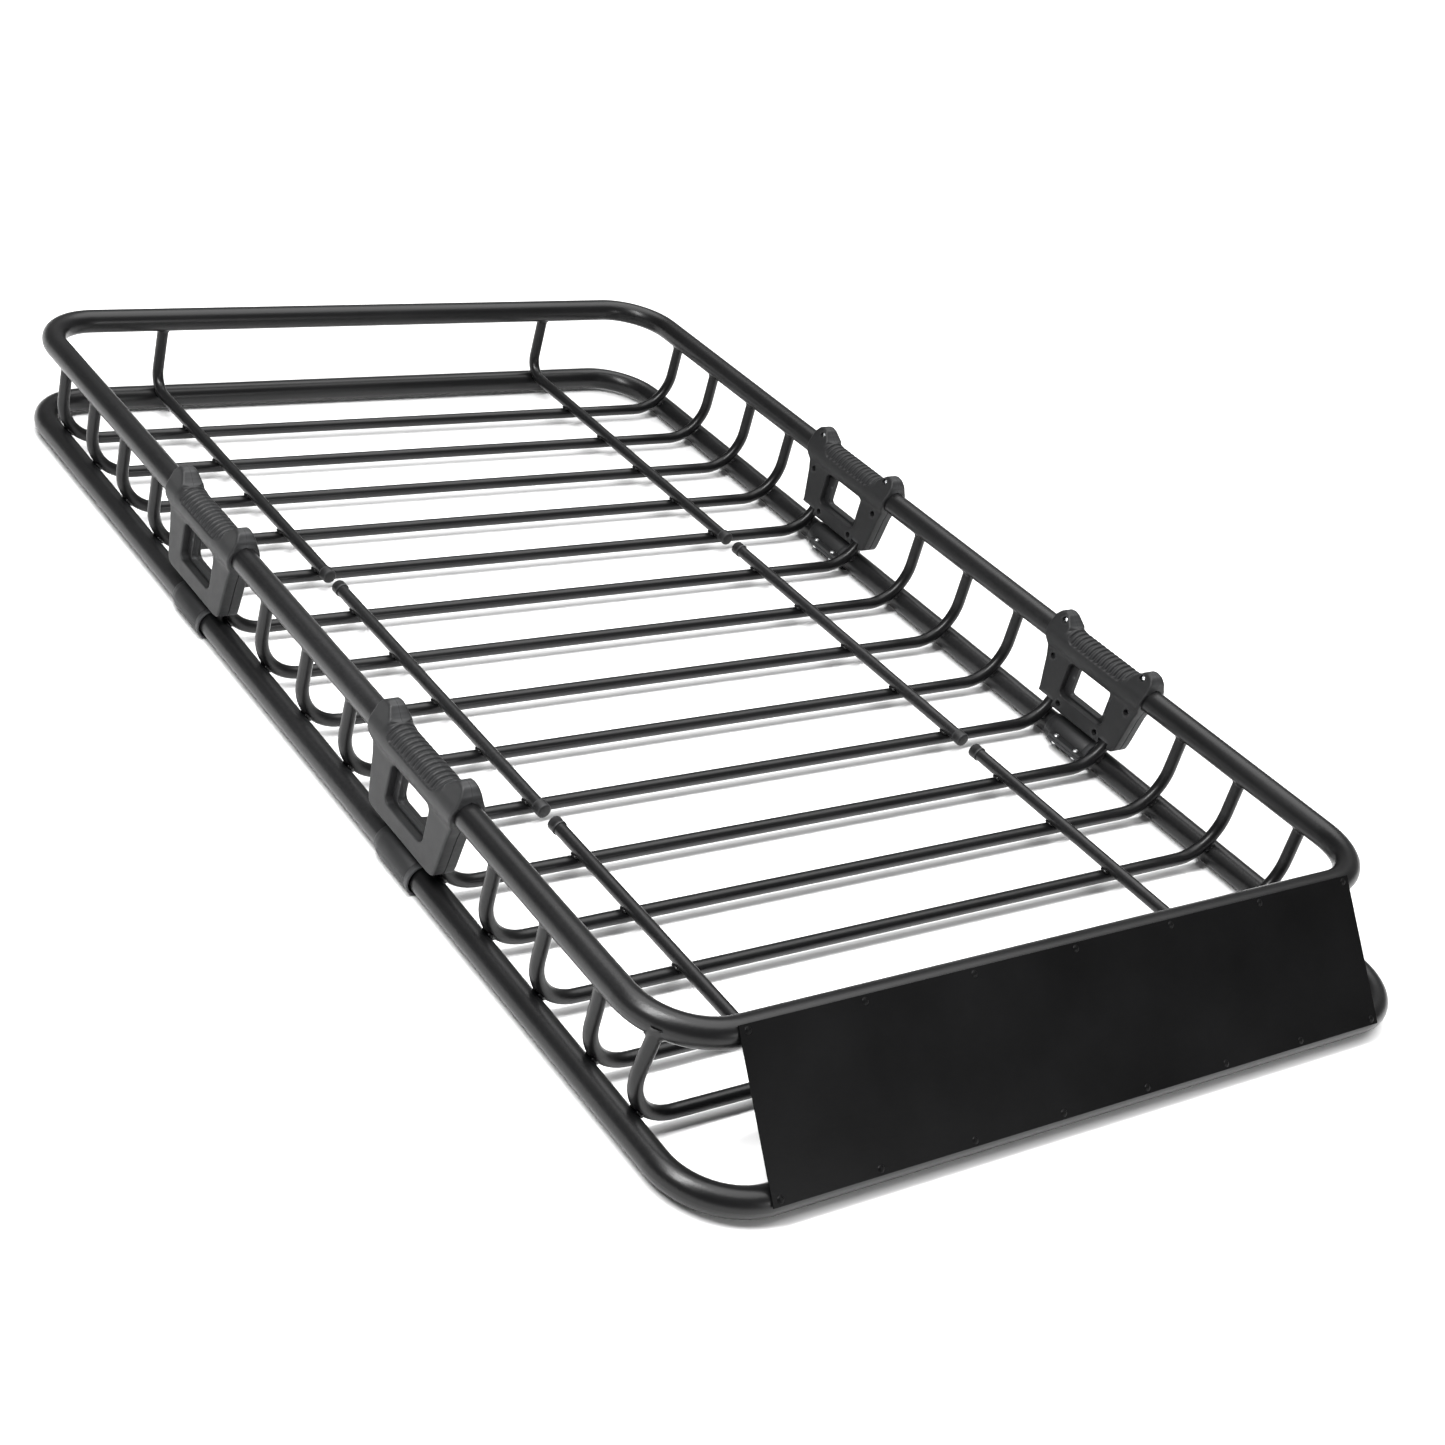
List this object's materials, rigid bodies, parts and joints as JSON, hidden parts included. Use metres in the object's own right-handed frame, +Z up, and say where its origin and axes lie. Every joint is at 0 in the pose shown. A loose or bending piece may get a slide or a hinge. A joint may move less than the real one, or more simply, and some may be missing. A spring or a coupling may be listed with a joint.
{
  "type": "roof cargo basket",
  "caption": "Long open tubular basket with two side rails, bent crossbars, a sloping front fairing plate and clamp-on plastic handles over its section joints.",
  "frame": {"origin": "middle of the footprint, at the lowest point of the couplers under the lower rails", "axes": "+Y along the basket towards the plain rear end, -Y towards the fairing at the front, +X to the right side, +Z up"},
  "size_m": [1.001, 1.626, 0.164],
  "materials": {
    "powder_coat": "satin black powder coat with a fine orange-peel grain",
    "fairing_coat": "satin black powder coat on sheet",
    "handle_plastic": "dark grey moulded plastic with a fine texture",
    "cap_plastic": "black soft plastic",
    "screw_steel": "bright zinc plated"
  },
  "bodies": {
    "middle_section": {"middle_upper_rail_left": "powder_coat", "middle_upper_rail_right": "powder_coat", "middle_lower_rail_left": "powder_coat", "middle_lower_rail_right": "powder_coat", "middle_crossbar_1": "powder_coat", "middle_crossbar_2": "powder_coat", "middle_crossbar_3": "powder_coat", "middle_crossbar_4": "powder_coat", "middle_crossbar_5": "powder_coat", "middle_floor_rod_left": "powder_coat", "middle_floor_rod_right": "powder_coat", "middle_rod_caps": "cap_plastic", "rear_left_handle_outer": "handle_plastic", "rear_left_handle_inner": "handle_plastic", "rear_left_handle_screws": "screw_steel", "rear_left_coupler_upper": "handle_plastic", "rear_left_coupler_lower": "handle_plastic", "rear_left_coupler_screws": "screw_steel", "rear_right_handle_outer": "handle_plastic", "rear_right_handle_inner": "handle_plastic", "rear_right_handle_screws": "screw_steel", "rear_right_coupler_upper": "handle_plastic", "rear_right_coupler_lower": "handle_plastic", "rear_right_coupler_screws": "screw_steel"},
    "rear_section": {"rear_upper_rail": "powder_coat", "rear_lower_rail": "powder_coat", "rear_crossbar_1": "powder_coat", "rear_crossbar_2": "powder_coat", "rear_crossbar_3": "powder_coat", "rear_crossbar_4": "powder_coat", "rear_crossbar_5": "powder_coat", "rear_floor_rod_left": "powder_coat", "rear_floor_rod_right": "powder_coat", "rear_rod_caps": "cap_plastic"},
    "front_section": {"front_upper_rail": "powder_coat", "front_lower_rail": "powder_coat", "front_crossbar_1": "powder_coat", "front_crossbar_2": "powder_coat", "front_crossbar_3": "powder_coat", "front_crossbar_4": "powder_coat", "front_crossbar_5": "powder_coat", "front_floor_rod_left": "powder_coat", "front_floor_rod_right": "powder_coat", "front_rod_caps": "cap_plastic", "fairing": "fairing_coat", "fairing_rivets": "fairing_coat", "front_left_handle_outer": "handle_plastic", "front_left_handle_inner": "handle_plastic", "front_left_handle_screws": "screw_steel", "front_left_coupler_upper": "handle_plastic", "front_left_coupler_lower": "handle_plastic", "front_left_coupler_screws": "screw_steel", "front_right_handle_outer": "handle_plastic", "front_right_handle_inner": "handle_plastic", "front_right_handle_screws": "screw_steel", "front_right_coupler_upper": "handle_plastic", "front_right_coupler_lower": "handle_plastic", "front_right_coupler_screws": "screw_steel"}
  },
  "joints": [
    {"name": "rear_section_slide", "type": "slide", "parent": "middle_section", "child": "rear_section", "axis": [0, 1, 0], "range_m": [0, 0.08]},
    {"name": "front_section_slide", "type": "slide", "parent": "middle_section", "child": "front_section", "axis": [0, -1, 0], "range_m": [0, 0.08]}
  ]
}
